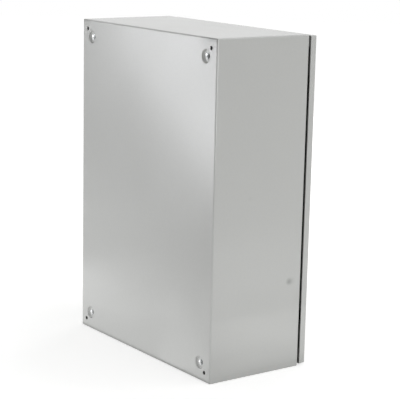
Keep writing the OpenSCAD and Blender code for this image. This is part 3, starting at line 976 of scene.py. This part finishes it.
@dataclass
class Door:
    """Folded door with its foamed seal, rails, hinge leaves, pins and earth stud.

    Attributes:
        seal_width_mm: Width of the foam bead at its foot.
        seal_corner_mm: Radius of the bead's middle line in the corners.
        seal_groove_mm: Depth of the line that the rain lip has pressed into the bead.
        seal_groove_width_mm: Half width of that line.
        seal_fullness: Powers that fill out the section, across and up; at 1 it is an ellipse.
        seal_ripple_mm: How far the poured bead wavers.
        seal_wave_mm: Length of one waver.
        seal_step_mm: Length of one step along the bead.
        seal_corner_steps: Steps in each of the bead's corners.
        seal_section_steps: Steps across the bead.
        weld_gap_mm: Distance between stitch welds along a rail.
        weld_bead_mm: Radius of a weld bead.
        weld_drops: Drops in one stitch weld.
        weld_sizes: Smallest and largest drop, as shares of the bead.
        weld_seed: Seed of the drops' sizes.
        weld_rounding: How often the faces of a drop are divided.
    """

    seal_width_mm: float = 10.0
    seal_corner_mm: float = 6.0
    seal_groove_mm: float = 0.7
    seal_groove_width_mm: float = 1.3
    seal_fullness: Pair = (0.55, 0.62)
    seal_ripple_mm: float = 0.25
    seal_wave_mm: float = 60.0
    seal_step_mm: float = 2.5
    seal_corner_steps: int = 12
    seal_section_steps: int = 26
    weld_gap_mm: float = 105.0
    weld_bead_mm: float = 1.5
    weld_drops: int = 11
    weld_sizes: Pair = (0.88, 1.12)
    weld_seed: int = 7
    weld_rounding: int = 2

    def build(self, finishes: FinishSet, thread: Recipe) -> None:
        """Dresses the door's nodes and adds its seal, welds and thread.

        Args:
            finishes: Finishes that the sub-assemblies share.
            thread: Tree of the threads.
        """
        coat = paint_for("door", finishes.paint)
        dress(coat, "door_panel", "door_rail_left", "door_rail_right")
        dress(
            finishes.black_zinc,
            "upper_hinge_leaf", "lower_hinge_leaf", "upper_hinge_pin", "lower_hinge_pin",
        )
        dress(finishes.zinc, "door_earth_washer", "door_earth_nut")
        dress(finishes.copper, "door_earth_stud")
        self.pour_seal(finishes.foam)
        self.weld_rails(coat)
        EarthStud(Carrier.DOOR, Facing.BACKWARD, axis=1).cut_thread(thread, finishes.copper)

    def seal_section(self, height: float) -> list[Vector]:
        """Draws the bead's section: a rounded rise with the lip's line along its top.

        Args:
            height: Height of the bead, in metres.

        Returns:
            Points across the bead (x) and up from the door (y), in order around it.
        """
        half = self.seal_width_mm * MM / 2
        groove_width = self.seal_groove_width_mm * MM
        steps = self.seal_section_steps
        across_power, rise_power = self.seal_fullness
        points = []
        for i in range(steps + 1):
            angle = math.pi * i / steps
            across = half * math.copysign(abs(math.cos(angle)) ** across_power, math.cos(angle))
            rise = height * max(0.0, math.sin(angle)) ** rise_power
            press = self.seal_groove_mm * MM * math.exp(-((across / groove_width) ** 2))
            points.append(Vector((across, rise - press if rise > press else 0.0, 0.0)))
        return points

    def seal_recipe(self) -> Recipe:
        """Builds the tree: the seed's section swept round a rounded rectangle, a little uneven.

        Returns:
            The recipe of the bead.
        """
        made = Recipe.named(
            "foam_bead",
            ("Width", "Height", "Corner", "Step", "Ripple", "Ripple Scale"),
            vectors=("Place", "Facing"),
        )
        tree = made.tree
        outline = add_node(
            tree,
            "GeometryNodeCurvePrimitiveQuadrilateral",
            {"Width": made.size("Width"), "Height": made.size("Height")},
        )
        rounded = add_node(
            tree,
            "GeometryNodeFilletCurve",
            {0: outline, "Count": self.seal_corner_steps, "Radius": made.size("Corner")},
            mode="POLY",
        )
        path = add_node(
            tree, "GeometryNodeResampleCurve", {0: rounded, "Length": made.size("Step")}, mode="LENGTH"
        )
        upright = add_node(tree, "GeometryNodeSetCurveNormal", {0: path}, mode="Z_UP")
        section = add_node(tree, "GeometryNodeMeshToCurve", {0: made.size("Seed")})
        bead = add_node(tree, "GeometryNodeCurveToMesh", {"Curve": upright, "Profile Curve": section})
        waver = add_node(tree, "ShaderNodeTexNoise", {"Scale": made.size("Ripple Scale"), "Detail": 1.0})
        centred = add_node(
            tree, "ShaderNodeVectorMath", (waver.outputs["Color"], NOISE_MIDDLE), operation="SUBTRACT"
        )
        shift = add_node(
            tree, "ShaderNodeVectorMath", {0: centred, "Scale": made.size("Ripple")}, operation="SCALE"
        )
        uneven = add_node(tree, "GeometryNodeSetPosition", {0: bead, "Offset": shift})
        turn = add_node(tree, "FunctionNodeEulerToRotation", {0: made.size("Facing")})
        placed = add_node(
            tree, "GeometryNodeTransform", {0: uneven, "Translation": made.size("Place"), "Rotation": turn}
        )
        made.close(placed)
        return made

    def pour_seal(self, foam: Material) -> None:
        """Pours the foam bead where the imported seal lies.

        Args:
            foam: Finish of the bead.
        """
        lo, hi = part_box("door_seal")
        width = self.seal_width_mm * MM
        section = self.seal_section(hi.y - lo.y)
        seal = self.seal_recipe().make(
            "foamed_door_seal",
            seed_points("seal_section", section, closed=True),
            foam,
            Width=hi.x - lo.x - width,
            Height=hi.z - lo.z - width,
            Corner=self.seal_corner_mm * MM,
            Step=self.seal_step_mm * MM,
            Ripple=self.seal_ripple_mm * MM,
            Ripple_Scale=per_mm(self.seal_wave_mm),
            Place=(0.0, lo.y, (lo.z + hi.z) / 2),
            Facing=Facing.FORWARD.value,
        )
        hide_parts("door_seal")
        carry(seal, Carrier.DOOR)

    def weld_recipe(self) -> Recipe:
        """Builds the tree: rows of overlapping drops, each row one stitch weld on a seed point.

        Returns:
            The recipe of the welds.
        """
        made = Recipe.named("stitch_weld", ("Pitch", "Bead"), counts=("Drops",))
        tree = made.tree
        offset = add_node(tree, "ShaderNodeCombineXYZ", {"Z": made.size("Pitch")})
        row = add_node(tree, "GeometryNodeMeshLine", {"Count": made.size("Drops"), "Offset": offset})
        drop = add_node(
            tree,
            "GeometryNodeMeshIcoSphere",
            {"Radius": made.size("Bead"), "Subdivisions": self.weld_rounding},
        )
        least, most = self.weld_sizes
        size = add_node(
            tree, "FunctionNodeRandomValue", {2: least, 3: most, "Seed": self.weld_seed}, data_type="FLOAT"
        )
        stitch = add_node(
            tree, "GeometryNodeInstanceOnPoints", {"Points": row, "Instance": drop, "Scale": size.outputs[1]}
        )
        rows = add_node(
            tree, "GeometryNodeInstanceOnPoints", {"Points": made.size("Seed"), "Instance": stitch}
        )
        made.close(rows)
        return made

    def weld_rails(self, coat: Material) -> None:
        """Stitch welds both feet of each rail to the door, under the paint.

        Args:
            coat: Paint of the door.
        """
        starts = []
        bead = self.weld_bead_mm * MM
        lift = bead / 3
        stitch = bead * (self.weld_drops - 1)
        for rail in ("door_rail_left", "door_rail_right"):
            lo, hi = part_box(rail)
            count = int((hi.z - lo.z - stitch) // (self.weld_gap_mm * MM)) + 1
            spacing = (hi.z - lo.z - stitch) / (count - 1)
            starts += [
                Vector((x, lo.y + lift, lo.z + i * spacing)) for x in (lo.x, hi.x) for i in range(count)
            ]
        welds = self.weld_recipe().make(
            "rail_stitch_welds",
            seed_points("rail_stitch_welds", starts),
            coat,
            Drops=self.weld_drops,
            Pitch=bead,
            Bead=bead,
        )
        carry(welds, Carrier.DOOR)


@dataclass
class QuarterTurnLock:
    """One lock: its housing, seal and nut on the door, its barrel and cam.

    Attributes:
        end: Which of the two locks.
    """

    end: End

    def build(self, finishes: FinishSet) -> None:
        """Dresses the lock's nodes.

        Args:
            finishes: Finishes that the sub-assemblies share.
        """
        for finish, pieces in (
            (finishes.cast, ("lock_housing", "lock_barrel")),
            (finishes.zinc, ("lock_nut", "lock_cam", "cam_washer", "cam_screw")),
            (finishes.foam, ("lock_seal",)),
        ):
            dress(finish, *(f"{self.end.value}_{piece}" for piece in pieces))


# Studio


class Effect(Enum):
    """What a lamp does: whether it lights faces, and whether it shows in glossy ones."""

    LIT_AND_MIRRORED = (True, True)
    LIT = (True, False)
    MIRRORED = (False, True)


@dataclass(frozen=True)
class SoftBox:
    """Rectangular studio lamp.

    Attributes:
        name: Name of the lamp.
        place_mm: Where it hangs, or where it lies on the floor.
        size_mm: Its width and height.
        power_w: Its power.
        aim_mm: What it points at, or None where it points straight up.
        roll_deg: How far it is turned about the line to its aim.
        effect: What it does to the object.
        colour: Colour of its light.
    """

    name: str
    place_mm: Point
    size_mm: Pair
    power_w: float
    aim_mm: Point | None = None
    roll_deg: float = 0.0
    effect: Effect = Effect.LIT_AND_MIRRORED
    colour: str = WHITE

    def hang(self) -> None:
        """Hangs the lamp in the studio, out of the camera's sight."""
        light = bpy.data.lights.new(self.name, "AREA")
        light.shape = "RECTANGLE"
        light.size = self.size_mm[0] * MM
        light.size_y = self.size_mm[1] * MM
        light.energy = self.power_w
        light.color = linear(self.colour)[:3]
        lamp = bpy.data.objects.new(self.name, light)
        lamp.location = metres(self.place_mm)
        aim = metres(self.aim_mm) - lamp.location if self.aim_mm else Vector((0, 0, 1))
        roll = Quaternion((0, 0, 1), math.radians(self.roll_deg))
        lamp.rotation_euler = (aim.to_track_quat("-Z", "Y") @ roll).to_euler()
        lamp.visible_camera = False
        lamp.visible_diffuse, lamp.visible_glossy = self.effect.value
        bpy.context.scene.collection.objects.link(lamp)
        log.info("%s hung", self.name)


@dataclass
class Studio:
    """Plain pale floor, white surroundings and soft lamps.

    Attributes:
        floor_radius_mm: Radius of the round floor.
        floor_sides: Sides of its outline.
        floor_colour: Colour of the floor in the light that it throws back.
        shadow_colour: Colour of the floor that the camera sees, on top of its lift.
        floor_lift: Share of white that the floor shows even in shadow, near the object and far off.
        lift_reach_mm: Distances from the object at which those two shares begin.
        surround: Strength of the white surroundings as a light.
        lamps: The softboxes.
    """

    floor_radius_mm: float = 9000.0
    floor_sides: int = 96
    floor_colour: str = "#E4E4E2"
    shadow_colour: str = "#D0D0CF"
    floor_lift: Pair = (0.58, 0.78)
    lift_reach_mm: Pair = (350.0, 1100.0)
    surround: float = 0.415
    lamps: tuple[SoftBox, ...] = (
        SoftBox("overhead_box", (0, 0, 3000), (2000, 2000), 11.5, (0, 0, 350)),
        SoftBox("hinge_corner_box", (-1400, -1400, 2800), (1600, 1600), 12.7, (0, 0, 350)),
        SoftBox("hinge_side_box", (-3200, -500, 1300), (1500, 1500), 18.7, (-250, 0, 350), effect=Effect.LIT),
        SoftBox("door_box", (1700, -3000, 1500), (1600, 1600), 26.0, (0, -100, 350), effect=Effect.LIT),
        SoftBox("back_high_strip", (1345, 1268, 398), (700, 250), 1.65, (0, 127, 480), -56.0, colour=COOL),
        SoftBox("back_low_strip", (1370, 1268, 328), (800, 220), 3.58, (0, 127, 480), -56.0, colour=COOL),
        SoftBox("back_floor_card", (250, 375, 5), (1000, 490), 0.77),
        SoftBox("back_corner_card", (500, 330, 5), (600, 220), 0.19),
        SoftBox("side_floor_card", (-700, -100, 5), (600, 300), 0.4),
        SoftBox("side_near_card", (-440, -100, 5), (320, 400), 0.09),
        SoftBox("back_hinge_card", (85, 320, 5), (600, 130), 0.13, roll_deg=-36.0, effect=Effect.MIRRORED),
        SoftBox("back_far_card", (580, 385, 5), (260, 130), 0.06, effect=Effect.MIRRORED),
        SoftBox("side_far_card", (-900, -420, 5), (400, 500), 0.6, effect=Effect.MIRRORED),
        SoftBox("fold_board", (-2900, 300, 300), (1700, 600), 32.0, (-250, 128, 300), effect=Effect.MIRRORED),
        SoftBox("fold_front_card", (-450, 1000, 5), (1100, 1400), 8.2, effect=Effect.MIRRORED),
        SoftBox("fold_near_card", (-400, 260, 5), (240, 240), 0.25, effect=Effect.MIRRORED),
    )

    def build(self) -> None:
        """Lays the floor, lights the surroundings and hangs the lamps."""
        self.lay_floor()
        self.light_surround()
        for lamp in self.lamps:
            lamp.hang()

    @staticmethod
    def split(tree: NodeTree, output: str, lighting: Node, shown: Node) -> None:
        """Ends a tree in one shader that lights the object and another that is seen.

        Args:
            tree: Tree of the floor or of the surroundings.
            output: Type name of its output node.
            lighting: Shader for the rays that light the object.
            shown: Shader for camera, glossy and transmitted rays.
        """
        path = add_node(tree, "ShaderNodeLightPath").outputs
        seen = path["Is Camera Ray"]
        for ray in ("Is Glossy Ray", "Is Transmission Ray"):
            seen = add_node(tree, "ShaderNodeMath", (seen, path[ray]), operation="ADD", use_clamp=True)
        both = add_node(tree, "ShaderNodeMixShader", (seen, lighting, shown))
        add_node(tree, output, {"Surface": both})

    def lay_floor(self) -> None:
        """Lays a round floor that shows white, with the object's shadow on it."""
        material = bpy.data.materials.new("studio_floor_matt_white")
        tree = empty_tree(material)
        matt = add_node(tree, "ShaderNodeBsdfDiffuse", {"Color": linear(self.floor_colour)})
        shade = add_node(tree, "ShaderNodeBsdfDiffuse", {"Color": linear(self.shadow_colour)})
        place = add_node(tree, "ShaderNodeTexCoord").outputs["Object"]
        away = add_node(tree, "ShaderNodeVectorMath", (place,), operation="LENGTH").outputs["Value"]
        near, far = (reach * MM for reach in self.lift_reach_mm)
        rise = add_node(tree, "ShaderNodeMapRange", (away, near, far, *self.floor_lift))
        lift = add_node(tree, "ShaderNodeEmission", {"Strength": rise})
        lifted = add_node(tree, "ShaderNodeAddShader", (shade, lift))
        self.split(tree, "ShaderNodeOutputMaterial", matt, lifted)
        shape = bmesh.new()
        radius = self.floor_radius_mm * MM
        bmesh.ops.create_circle(shape, cap_ends=True, radius=radius, segments=self.floor_sides)
        mesh = bpy.data.meshes.new("studio_floor")
        shape.to_mesh(mesh)
        shape.free()
        mesh.materials.append(material)
        floor = bpy.data.objects.new("studio_floor", mesh)
        bpy.context.scene.collection.objects.link(floor)
        log.info("floor laid")

    def light_surround(self) -> None:
        """Makes the surroundings white to look at and dimmer as a light."""
        world = bpy.data.worlds.new("white_studio")
        tree = empty_tree(world)
        dim = add_node(tree, "ShaderNodeBackground", {"Color": linear(WHITE), "Strength": self.surround})
        white = add_node(tree, "ShaderNodeBackground", {"Color": linear(WHITE), "Strength": 1.0})
        self.split(tree, "ShaderNodeOutputWorld", dim, white)
        bpy.context.scene.world = world


@dataclass(frozen=True)
class PhotoCamera:
    """Camera at the photograph's place, fitted to the enclosure's edges.

    Attributes:
        place_mm: Where it stands.
        azimuth_deg: Direction from the object to the camera, 0 in front of the door.
        elevation_deg: How far it looks down.
        roll_deg: How far it is tilted.
        focal_px: Focal length in the picture's pixels.
        middle_px: Pixel that the lens points at.
        picture_px: Width and height of the picture.
        sensor_mm: Width of the sensor.
        sight_mm: How far it sees.
    """

    place_mm: Point = (-2455.3, 1756.4, 954.5)
    azimuth_deg: float = 234.16
    elevation_deg: float = 12.15
    roll_deg: float = 1.25
    focal_px: float = 1421.1
    middle_px: Pair = (199.3, 208.9)
    picture_px: float = 400.0
    sensor_mm: float = 36.0
    sight_mm: float = 100000.0

    def build(self) -> None:
        """Makes the camera and gives it to the scene."""
        lens = bpy.data.cameras.new("photo_camera")
        lens.sensor_width = self.sensor_mm
        lens.lens = self.focal_px / self.picture_px * self.sensor_mm
        half = self.picture_px / 2
        lens.shift_x = (half - self.middle_px[0]) / self.picture_px
        lens.shift_y = (self.middle_px[1] - half) / self.picture_px
        lens.clip_end = self.sight_mm * MM
        camera = bpy.data.objects.new("photo_camera", lens)
        turn = math.radians(self.azimuth_deg)
        rise = math.radians(self.elevation_deg)
        back = Vector((math.sin(turn) * math.cos(rise), -math.cos(turn) * math.cos(rise), math.sin(rise)))
        right = Vector((0, 0, 1)).cross(back).normalized()
        up = back.cross(right)
        level = Matrix((right, up, back)).transposed()
        tilt = Matrix.Rotation(math.radians(self.roll_deg), 3, "Z")
        camera.matrix_world = Matrix.Translation(metres(self.place_mm)) @ (level @ tilt).to_4x4()
        bpy.context.scene.collection.objects.link(camera)
        bpy.context.scene.camera = camera
        log.info("camera placed")


def main() -> None:
    """Builds the sub-assemblies, the studio and the camera in order."""
    logging.basicConfig(level=logging.INFO, format="%(name)s: %(message)s")
    PhotoCamera().build()
    finishes = FinishSet.made()
    thread = Thread.recipe()
    SheetBody().build(finishes, thread)
    Door().build(finishes, thread)
    for end in End:
        QuarterTurnLock(end).build(finishes)
    Studio().build()
    bpy.context.scene.view_settings.view_transform = "Standard"


if __name__ == "__main__":
    main()
